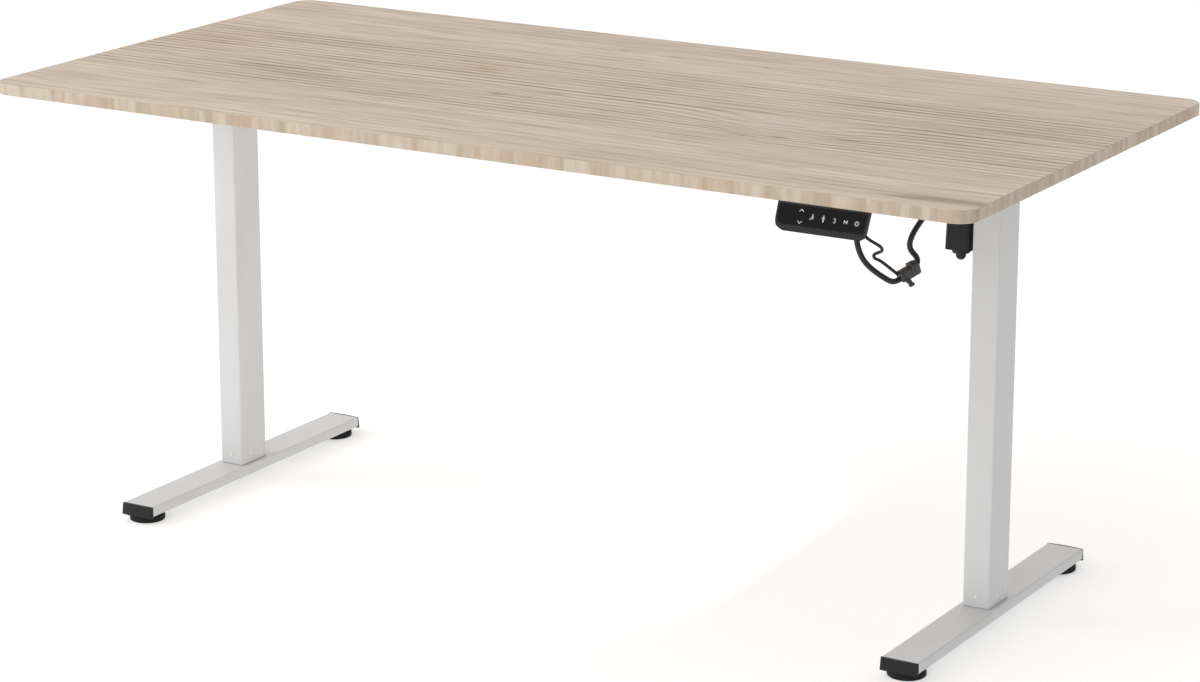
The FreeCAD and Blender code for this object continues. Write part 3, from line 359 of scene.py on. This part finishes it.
def makeCircuitBoard():
    # Solder mask over copper: glossy green with faint paler tracks.
    material, tree, shader = startMaterial("solderMask", 0.3, ior=1.5)
    length, height = board["pad"]
    brick = addNode(tree, "TexBrick", {"Vector": place(tree), "Scale": 1.0, "Mortar Size": board["gap"] * mm,
                                       "Brick Width": length * mm, "Row Height": height * mm,
                                       "Color1": linear(board["mask"]), "Color2": linear(board["maskDark"]),
                                       "Mortar": linear(board["track"])})
    tree.links.new(brick.outputs["Color"], shader.inputs["Base Color"])
    bump(tree, shader, brick.outputs["Fac"], 0.04, 0.6)
    return material


ink = {"pale": "#D5D5D3", "dull": "#BDBDBC", "paintedGlow": 0.15}


def makePrintedMark():
    # Screen-printed pale ink, which also glows a little: painted light that makes it read brighter.
    material, tree, shader = startMaterial("printedMarkPaintedGlow", 0.5)
    patch = spread(tree, noise(tree, place(tree), 3, 1.0), 0.3, 0.7)
    colour = mixColours(tree, patch, linear(ink["pale"]), linear(ink["dull"]))
    tree.links.new(colour, shader.inputs["Base Color"])
    # painted light: the ink emits its own colour
    tree.links.new(colour, shader.inputs["Emission Color"])
    shader.inputs["Emission Strength"].default_value = ink["paintedGlow"]
    return material


finishes = {
    "oak_laminate": makeOakLaminate(),
    "white_powder_coat": makeWhitePowderCoat(),
    "zinc_steel": makeMetal("zincPlate", "#C4C6C9", "#A9ABB0", 0.32, (1, 1, 0.3), 0.9, 0.01),
    "cast_aluminium": makeMetal("castAluminium", "#A9ABAD", "#8F9194", 0.5, (1, 1, 1), 1.8, 0.06),
    "gear_steel": makeMetal("hobbedSteel", "#8C8E93", "#74767B", 0.34, (1, 1, 1), 1.2, 0.02),
    "wheel_bronze": makeMetal("bronze", "#BE8F4E", "#A0743A", 0.36, (1, 1, 1), 1.4, 0.02),
    "glide_acetal": makeMoulded("naturalAcetal", "#EAE8E2", "#E2E0D9", 0.36, 1.5, 0.01),
    "black_abs": makeMoulded("blackAbs", "#19191A", "#1E1E1F", 0.44, 0.9, 0.03, 0.25),
    "motor_steel": makeMoulded("stovedBlackSteel", "#1B1B1C", "#202021", 0.40, 2.2, 0.02, 0.3),
    "touch_film": makeMoulded("touchFilm", "#101011", "#121213", 0.46, 2.5, 0.003, 0.10),
    "smoked_window": makeMoulded("smokedAcrylic", "#0F0F10", "#111112", 0.44, 4.0, 0.001, 0.10),
    "circuit_board": makeCircuitBoard(),
    "pad_rubber": makeMoulded("padRubber", "#141414", "#1A1A1A", 0.60, 1.1, 0.05, 0.2),
    "cable_pvc": makeMoulded("cablePvc", "#151516", "#1A1A1B", 0.44, 1.6, 0.02, 0.4),
}
connectorNylon = makeMoulded("connectorNylon", "#303031", "#373738", 0.34, 1.2, 0.02, 0.5)
printedMarkPaintedGlow = makePrintedMark()


def dress(piece, material):
    piece.data.materials.clear()
    piece.data.materials.append(material)


for part in frame["record"]["subparts"]:
    dress(nodes[part["node"]], finishes[part["material_slot"]])
for piece in cordPieces.values():
    dress(piece, finishes["cable_pvc"])
print("finishes made:", len(finishes) + 2)


def addPiece(name, mesh, body, slot, replaced=(), smooth=True, material=None):
    mesh.normal_update()
    data = bpy.data.meshes.new(name)
    mesh.to_mesh(data)
    mesh.free()
    if smooth:
        data.shade_smooth()
    piece = bpy.data.objects.new(name, data)
    bpy.context.scene.collection.objects.link(piece)
    dress(piece, material or finishes[slot])
    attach(piece, body)
    if replaced:
        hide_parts(*replaced)
    return piece


def sharpen(piece, angle=35):
    # Edges steeper than the angle stay crisp.
    mesh = bmesh.new()
    mesh.from_mesh(piece.data)
    for edge in mesh.edges:
        if len(edge.link_faces) == 2 and edge.calc_face_angle() > math.radians(angle):
            edge.smooth = False
    mesh.to_mesh(piece.data)
    mesh.free()


def skinRings(mesh, rings):
    # Joins loops of points that have the same count, and closes both ends.
    loops = [[mesh.verts.new(p) for p in ring] for ring in rings]
    count = len(loops[0])
    for a, b in zip(loops, loops[1:]):
        for i in range(count):
            j = (i + 1) % count
            mesh.faces.new((a[i], a[j], b[j], b[i]))
    mesh.faces.new(list(reversed(loops[0])))
    mesh.faces.new(loops[-1])


def circle(mid, r, z, steps):
    turns = [2 * math.pi * i / steps for i in range(steps)]
    return [(mid.x + r * math.cos(a), mid.y + r * math.sin(a), z) for a in turns]


def threadRings(mid, low, high, spec):
    # Rings up a bar whose radius follows a screw thread, run out smoothly at both ends.
    pitch = spec["lead"] * mm / spec["starts"]
    rise = pitch / spec["slices"]
    count = int((high - low) / rise)
    rings = []
    for k in range(count + 1):
        z = low + k * rise
        fade = min(1.0, k / 6, (count - k) / 6)
        ring = []
        for i in range(spec["steps"]):
            a = 2 * math.pi * i / spec["steps"]
            phase = (z / pitch - spec["starts"] * a / (2 * math.pi)) % 1.0
            # a crest over 0.4 of the pitch, then sloping flanks
            ridge = min(1.0, max(0.0, 2.2 - 6.0 * abs(phase - 0.5)))
            r = (spec["root"] + (spec["outer"] - spec["root"]) * ridge * fade) * mm
            ring.append((mid.x + r * math.cos(a), mid.y + r * math.sin(a), z))
        rings.append(ring)
    return rings


# Spindles and worm: real screw threads in place of the plain bars.
spindleThread = {"lead": 8.0, "starts": 2, "outer": 6.95, "root": 5.4, "steps": 36, "slices": 8,
                 "neck": 4.95, "plain": 20.0}       # mm left unthreaded below the neck
wormThread = {"lead": 4.7, "starts": 1, "outer": 4.45, "root": 3.1, "steps": 32, "slices": 10,
              "shank": 2.5, "length": 24.0}


def makeSpindle(side):
    low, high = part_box(side + "_spindle")
    mid = (low + high) / 2
    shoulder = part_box("column_plates")[0].z - 0.2 * mm
    threadTop = shoulder - spindleThread["plain"] * mm
    steps = spindleThread["steps"]
    outer, neck = spindleThread["outer"] * mm, spindleThread["neck"] * mm
    rings = threadRings(mid, low.z, threadTop, spindleThread)
    for z, r in ((threadTop + 2 * mm, outer), (shoulder, outer), (shoulder, neck),
                 (high.z - 0.6 * mm, neck), (high.z, neck - 0.6 * mm)):
        rings.append(circle(mid, r, z, steps))
    mesh = bmesh.new()
    skinRings(mesh, rings)
    piece = addPiece(side + "ThreadedSpindle", mesh, side + "_spindle_body", "zinc_steel",
                     (side + "_spindle",))
    sharpen(piece)


def makeWorm():
    low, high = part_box("worm_shaft")
    mid = (low + high) / 2
    steps = wormThread["steps"]
    shank = wormThread["shank"] * mm
    wormLow = high.z - wormThread["length"] * mm
    rings = [circle(mid, shank - 0.4 * mm, low.z, steps), circle(mid, shank, low.z + 0.5 * mm, steps),
             circle(mid, shank, wormLow - 0.1 * mm, steps)]
    rings += threadRings(mid, wormLow, high.z - 0.1 * mm, wormThread)
    mesh = bmesh.new()
    skinRings(mesh, rings)
    sharpen(addPiece("threadedWorm", mesh, "worm_body", "zinc_steel", ("worm_shaft",)))


for side in ("left", "right"):
    makeSpindle(side)
makeWorm()
print("spindles and worm threaded")


# Levelling feet: a moulded pad with grip flutes round a threaded stud.
leveller = {"flutes": 24, "fluteDepth": 0.55, "steps": 192, "padTop": 9.5}
studThread = {"lead": 1.25, "starts": 1, "outer": 3.95, "root": 3.3, "steps": 32, "slices": 6}


def makeLeveller(side, end):
    node = side + "_" + end + "_leveller"
    name = side + end.capitalize() + "Leveller"
    low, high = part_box(node)
    mid = (low + high) / 2
    edge = (high.x - low.x) / 2
    padTop = leveller["padTop"] * mm
    # radius and height of the outline, and how deep the flutes are there
    outline = [(edge - 3.2 * mm, 0.0, 0), (edge - 1.0 * mm, 0.0, 0), (edge, 1.0 * mm, 0),
               (edge, 2.6 * mm, 0), (edge, 3.2 * mm, 1), (edge, padTop - 2.4 * mm, 1),
               (edge - 0.5 * mm, padTop - 1.2 * mm, 1), (edge - 1.4 * mm, padTop - 0.4 * mm, 0.4),
               (edge - 2.6 * mm, padTop, 0), (12 * mm, padTop, 0), (9.5 * mm, padTop, 0),
               (4.4 * mm, padTop, 0)]
    rings = []
    for r, z, share in outline:
        ring = []
        for i in range(leveller["steps"]):
            a = 2 * math.pi * i / leveller["steps"]
            flute = max(0.0, math.cos(a * leveller["flutes"])) ** 1.5
            reach = r - leveller["fluteDepth"] * mm * share * flute
            ring.append((mid.x + reach * math.cos(a), mid.y + reach * math.sin(a), z))
        rings.append(ring)
    mesh = bmesh.new()
    skinRings(mesh, rings)
    sharpen(addPiece(name, mesh, node + "_body", "pad_rubber", (node,)), 40)
    studMesh = bmesh.new()
    skinRings(studMesh, threadRings(mid, padTop, high.z, studThread))
    addPiece(name + "Stud", studMesh, node + "_body", "zinc_steel")


for side in ("left", "right"):
    for end in ("front", "back"):
        makeLeveller(side, end)
print("levelling feet made")


# Screws and bolts: turned heads with a hexagon socket, set where the plain ones are.
screwHeads = {
    "top_screws": {"body": "lift", "slot": "zinc_steel", "across": 2.6, "deep": 1.4},
    "rail_bolts": {"body": "lift", "slot": "zinc_steel", "across": 3.0, "deep": 1.8},
    "column_bolts": {"body": "base", "slot": "zinc_steel", "across": 3.4, "deep": 2.2},
}


def looseParts(node):
    # The vertices of each separate solid in a node.
    mesh = bmesh.new()
    mesh.from_mesh(nodes[node].data)
    waiting = set(mesh.verts)
    parts = []
    for first in mesh.verts:
        if first not in waiting:
            continue
        waiting.remove(first)
        part, frontier = [], [first]
        while frontier:
            vert = frontier.pop()
            part.append(vert.co.copy())
            for link in vert.link_edges:
                other = link.other_vert(vert)
                if other in waiting:
                    waiting.remove(other)
                    frontier.append(other)
        parts.append(part)
    mesh.free()
    return parts


def makeScrew(mesh, points, spec):
    # Finds which way the screw points, where its head is and how wide, then turns it anew.
    low = Vector([min(p[i] for p in points) for i in range(3)])
    high = Vector([max(p[i] for p in points) for i in range(3)])
    size = high - low
    axis = max(range(3), key=lambda i: abs(size[i] - (size[(i + 1) % 3] + size[(i + 2) % 3]) / 2))
    others = [i for i in range(3) if i != axis]
    mid = (low + high) / 2
    headR = size[others[0]] / 2

    def reach(p):
        return math.hypot(p[others[0]] - mid[others[0]], p[others[1]] - mid[others[1]])

    wide = [p[axis] for p in points if reach(p) > headR * 0.97]
    stemR = min(reach(p) for p in points if reach(p) > headR * 0.2)
    headLow, headHigh = min(wide), max(wide)
    out = 1 if headHigh > high[axis] - 1e-6 else -1
    tip, seat, top = (low[axis], headLow, headHigh) if out > 0 else (high[axis], headHigh, headLow)
    thick = abs(top - seat)
    steps = 24
    deep = min(spec["deep"] * mm, thick * 0.8)

    def ring(r, along, sides=0):
        corners = []
        for i in range(steps):
            a = 2 * math.pi * i / steps
            if sides:
                sector = 2 * math.pi / sides
                across = r / math.cos((a + sector / 2) % sector - sector / 2)
            else:
                across = r
            p = mid.copy()
            p[axis] = along
            p[others[0]] += across * math.cos(a)
            p[others[1]] += across * math.sin(a)
            corners.append(p)
        return corners

    hexR = spec["across"] / 2 * mm
    profile = [ring(stemR * 0.6, tip), ring(stemR, tip + out * stemR * 0.5), ring(stemR, seat),
               ring(headR, seat), ring(headR, seat + out * thick * 0.55),
               ring(headR * 0.93, seat + out * thick * 0.85), ring(headR * 0.78, top),
               ring(hexR * 1.12, top, 6), ring(hexR, top - out * 0.12 * mm, 6),
               ring(hexR, top - out * deep, 6)]
    skinRings(mesh, profile)


for node, spec in screwHeads.items():
    mesh = bmesh.new()
    for points in looseParts(node):
        makeScrew(mesh, points, spec)
    bmesh.ops.recalc_face_normals(mesh, faces=mesh.faces)
    words = node.split("_")
    sharpen(addPiece(words[0] + words[1].capitalize(), mesh, spec["body"], spec["slot"], (node,)), 30)
print("screws turned")


# Connectors that hang in the cables: a moulded plug pushed into a socket, held by a latch.
connector = {
    "place": (683.3, -343.0, 592.0), "turn": 32.0, "rise": 20.0,
    "plug": (14.0, 18.0, 14.0), "socket": (15.0, 13.0, 17.0), "socketUp": 2.0,
    "ribs": 3, "ribPitch": 1.6, "latch": (5.0, 1.2),
    # the release tab's outline as distance along it and half width, where it starts and its lean
    "tab": [(0.0, 3.3), (6.0, 3.3), (6.8, 2.6), (8.0, 2.6), (8.8, 3.7), (11.6, 3.7), (12.6, 2.8)],
    "tabThick": 3.6, "tabFrom": (5.0, -1.5, -4.0), "tabLean": (0.62, 0.15, -0.78)}


def connectorFrame():
    rise = Matrix.Rotation(math.radians(connector["rise"]), 4, "X")
    turn = Matrix.Rotation(math.radians(-connector["turn"]), 4, "Z")
    return Matrix.Translation([v * mm for v in connector["place"]]) @ turn @ rise


def roundedRing(along, width, height, corner, up=0.0, count=5):
    # Rounded rectangle across the connector, in mm, with its middle raised by up.
    ring = []
    corner = min(corner, width / 2.05, height / 2.05)
    for quarter, (sx, sz) in enumerate(((1, 1), (-1, 1), (-1, -1), (1, -1))):
        for i in range(count):
            a = math.pi / 2 * (quarter + i / (count - 1))
            ring.append((sx * (width / 2 - corner) + corner * math.cos(a), along,
                         up + sz * (height / 2 - corner) + corner * math.sin(a)))
    return ring


def addLoft(mesh, sections):
    move = connectorFrame()
    rings = [[move @ (Vector(p) * mm) for p in roundedRing(*section)] for section in sections]
    skinRings(mesh, rings)


def makePlug():
    width, length, height = connector["plug"]
    front, back = -length / 2, length / 2
    mesh = bmesh.new()
    # boot, then body with a stepped nose and a rim where it meets the socket
    sections = [(front, width - 3.4, height - 3.4, 2.2), (front + 0.6, width - 2.4, height - 2.4, 2.2),
                (front + 1.6, width - 0.8, height - 0.8, 1.8)]
    for k in range(connector["ribs"]):
        start = front + 2.2 + k * connector["ribPitch"]
        sections += [(start, width - 0.8, height - 0.8, 1.8), (start + 0.25, width, height, 1.6),
                     (start + 0.95, width, height, 1.6), (start + 1.2, width - 0.8, height - 0.8, 1.8)]
    sections += [(back - 9.8, width - 0.8, height - 0.8, 1.4), (back - 9.4, width, height, 1.2),
                 (back - 2.3, width, height, 1.2), (back - 2.0, width - 1.0, height - 1.0, 1.2),
                 (back - 1.4, width - 1.0, height - 1.0, 1.2), (back - 1.1, width, height, 1.0),
                 (back, width, height, 1.0)]
    addLoft(mesh, sections)
    # latch arm lying on top, hooked over the socket
    wide, thick = connector["latch"]
    top = height / 2
    arm = [(front + 5.0, wide, thick, 0.4, top - 0.5), (front + 7.5, wide, thick, 0.4, top + 0.1),
           (back - 1.0, wide, thick, 0.4, top + 0.2), (back + 0.2, wide, thick, 0.4, top + 0.2)]
    addLoft(mesh, arm)
    # release tab that hangs down beside the plug
    move = connectorFrame()
    start, lean = Vector(connector["tabFrom"]), Vector(connector["tabLean"])
    across = Vector((-lean.z, 0, lean.x)) * connector["tabThick"] / 2
    rings = []
    for far, halfWide in connector["tab"]:
        mid, broad = start + lean * far, Vector((0, halfWide, 0))
        corners = (mid + across + broad, mid + across - broad, mid - across - broad, mid - across + broad)
        rings.append([move @ (corner * mm) for corner in corners])
    skinRings(mesh, rings)
    bmesh.ops.recalc_face_normals(mesh, faces=mesh.faces)
    piece = addPiece("cablePlug", mesh, "lift", "black_abs", ("cable_plug",), material=connectorNylon)
    sharpen(piece, 30)
    return piece


def makeSocket():
    width, length, height = connector["socket"]
    up = connector["socketUp"]
    front = connector["plug"][1] / 2
    back = front + length
    mesh = bmesh.new()
    sections = [(front, width - 0.8, height - 0.8, 1.2, up), (front + 0.4, width, height, 1.4, up),
                (front + 3.4, width, height, 1.4, up), (front + 3.7, width - 1.4, height - 1.4, 1.4, up),
                (front + 4.5, width - 1.4, height - 1.4, 1.4, up), (front + 4.8, width, height, 1.6, up),
                (back - 3.6, width, height, 1.8, up), (back - 1.0, width - 1.2, height - 1.0, 2.2, up),
                (back, width - 3.4, height - 3.0, 2.6, up)]
    addLoft(mesh, sections)
    bmesh.ops.recalc_face_normals(mesh, faces=mesh.faces)
    piece = addPiece("cableSocket", mesh, "lift", "black_abs", ("cable_socket",), material=connectorNylon)
    sharpen(piece, 30)
    return piece


cablePlug = makePlug()
cableSocket = makeSocket()
print("connectors moulded")


# Handset marks: printed on the touch panel, two arrows and five keys, u and v in mm down its face.
handset = {
    "tilt": 25.0, "plate": 1.35, "panelTop": 2.0, "proud": 0.02, "thick": 0.05,
    "marks": {
        "up": (-30.0, 8.6), "down": (-30.0, 24.6), "seated": (-13.7, 16.0), "standing": (2.8, 16.2),
        "three": (19.2, 16.5), "memory": (35.4, 16.4), "clock": (51.6, 16.5)},
}


def panelFrame():
    low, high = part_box("touch_panel")
    tilt = math.radians(handset["tilt"])
    frontLowZ = low.z + handset["plate"] * mm * math.sin(tilt)
    topY = low.y + (high.z - frontLowZ) * math.tan(tilt)
    top = Vector(((low.x + high.x) / 2, topY, high.z))
    down = Vector((0, -math.sin(tilt), -math.cos(tilt)))
    out = Vector((0, -math.cos(tilt), math.sin(tilt)))
    return top, down, out


def arc(cx, cy, r, start, end, count=14):
    points = []
    for i in range(count + 1):
        a = math.radians(start + (end - start) * i / count)
        points.append((cx + r * math.cos(a), cy - r * math.sin(a)))
    return points


# Strokes of each mark in mm about its middle, x to the right and y down the panel.
markStrokes = {
    "up": [([(-2.9, 1.6), (0, -1.6), (2.9, 1.6)], 0.76)],
    "down": [([(-2.9, -1.6), (0, 1.6), (2.9, -1.6)], 0.76)],
    "seated": [([(0.9, -3.6), (0.95, -3.55)], 1.44), ([(0.7, -2.0), (0.3, 0.9)], 1.28),
               ([(0.3, 1.0), (-1.5, 1.2)], 1.04), ([(-1.5, 1.2), (-2.6, 3.6)], 0.84),
               ([(2.3, -1.5), (1.9, 2.5)], 0.4), ([(1.9, 2.3), (-0.2, 2.6)], 0.4)],
    "standing": [([(0.2, -3.9), (0.25, -3.85)], 1.44), ([(0.2, -2.3), (0.2, 0.8)], 1.44),
                 ([(-0.1, 0.8), (-0.2, 4.1)], 0.76), ([(0.6, 0.8), (0.6, 4.1)], 0.76),
                 ([(-1.4, -2.1), (-1.6, 0.6)], 0.48), ([(1.7, -2.1), (1.9, 0.6)], 0.48)],
    "three": [(arc(-0.1, -1.4, 1.4, 150, -80), 0.68), (arc(-0.1, 1.4, 1.45, 80, -150), 0.68)],
    "memory": [([(-2.2, 2.2), (-2.2, -2.2), (0, 0.8), (2.2, -2.2), (2.2, 2.2)], 0.72)],
    "clock": [(arc(0, 0, 2.7, 0, 360, 28), 0.76), ([(0, 0), (0, -1.4)], 0.52),
              ([(0, 0), (1.0, 0.6)], 0.52)],
}


def strokeOutline(path, width):
    # A round-ended ribbon for each run of the path, as a closed outline.
    shapes = []
    for start, end in zip(path, path[1:]):
        heading = math.atan2(end[1] - start[1], end[0] - start[0])
        outline = []
        for (x, y), turn in ((start, math.pi / 2), (end, -math.pi / 2)):
            for i in range(9):
                a = heading + turn + math.pi * i / 8
                outline.append((x + width / 2 * math.cos(a), y + width / 2 * math.sin(a)))
        shapes.append(outline)
    return shapes


def makeMark(name, middle, strokes):
    top, down, out = panelFrame()
    markX, markDown = middle[0], middle[1] - handset["panelTop"]
    mesh = bmesh.new()
    for path, width in strokes:
        for k, outline in enumerate(strokeOutline(path, width)):
            # each run lies a hair above the one before it, so that no two faces share a place
            level = (handset["proud"] + 0.002 * k) * mm
            rings = []
            for height in (level, level + handset["thick"] * mm):
                rings.append([top + Vector(((markX + across) * mm, 0, 0))
                              + down * ((markDown + along) * mm) + out * height
                              for across, along in outline])
            skinRings(mesh, rings)
    bmesh.ops.recalc_face_normals(mesh, faces=mesh.faces)
    addPiece(name + "Mark", mesh, "lift", "touch_film", smooth=False, material=printedMarkPaintedGlow)


for name, strokes in markStrokes.items():
    makeMark(name, handset["marks"][name], strokes)
print("handset marked")


studio = {"floor": "#DCDCDB", "floorDull": "#DADAD9", "floorGlow": 0.41, "sky": 0.95, "skyRight": 0.37,
          "left": 87, "front": 30, "inner": 0.95}       # the three lamps, in watts


def makeFloor():
    mesh = bmesh.new()
    bmesh.ops.create_grid(mesh, x_segments=2, y_segments=2, size=30)
    data = bpy.data.meshes.new("floor")
    mesh.to_mesh(data)
    mesh.free()
    floor = bpy.data.objects.new("floor", data)
    floor.location.z = cadBox[0][2] - 0.0002
    bpy.context.scene.collection.objects.link(floor)
    material, tree, shader = startMaterial("paleFloor", 0.9)
    patch = spread(tree, noise(tree, place(tree), 900, 2.0), 0.3, 0.7)
    tree.links.new(mixColours(tree, patch, linear(studio["floor"]), linear(studio["floorDull"])),
                   shader.inputs["Base Color"])
    # A lit floor, as under a light tent, so that shadows stay faint.
    shader.inputs["Emission Color"].default_value = (1, 1, 1, 1)
    shader.inputs["Emission Strength"].default_value = studio["floorGlow"]
    dress(floor, material)


def addLight(name, at, aim, size, power):
    data = bpy.data.lights.new(name, "AREA")
    data.energy = power
    data.size = size
    light = bpy.data.objects.new(name, data)
    light.location = at
    light.rotation_euler = (Vector(aim) - Vector(at)).to_track_quat("-Z", "Y").to_euler()
    light.visible_camera = False
    bpy.context.scene.collection.objects.link(light)


makeFloor()
addLight("softLeft", (-4.6, -2.2, 2.6), (0, 0, 0.4), 3.0, studio["left"])
addLight("softFront", (0.6, -5.6, 2.4), (0, 0, 0.4), 3.0, studio["front"])
addLight("innerFill", (0.3, 0.1, 0.32), (-0.65, 0.05, 0.35), 0.5, studio["inner"])
# An even white studio that is dimmer to the right.
sky = bpy.data.worlds.new("studioSky")
sky.use_nodes = True
background = sky.node_tree.nodes["Background"]
background.inputs["Color"].default_value = (1, 1, 1, 1)
towards = addNode(sky.node_tree, "TexCoord").outputs["Generated"]
rightward = addNode(sky.node_tree, "SeparateXYZ", {0: towards}).outputs[0]
strength = spread(sky.node_tree, rightward, 0.0, 0.9, studio["sky"], studio["skyRight"])
sky.node_tree.links.new(strength, background.inputs["Strength"])
bpy.context.scene.world = sky
bpy.context.scene.view_settings.view_transform = "Standard"
print("studio lit")
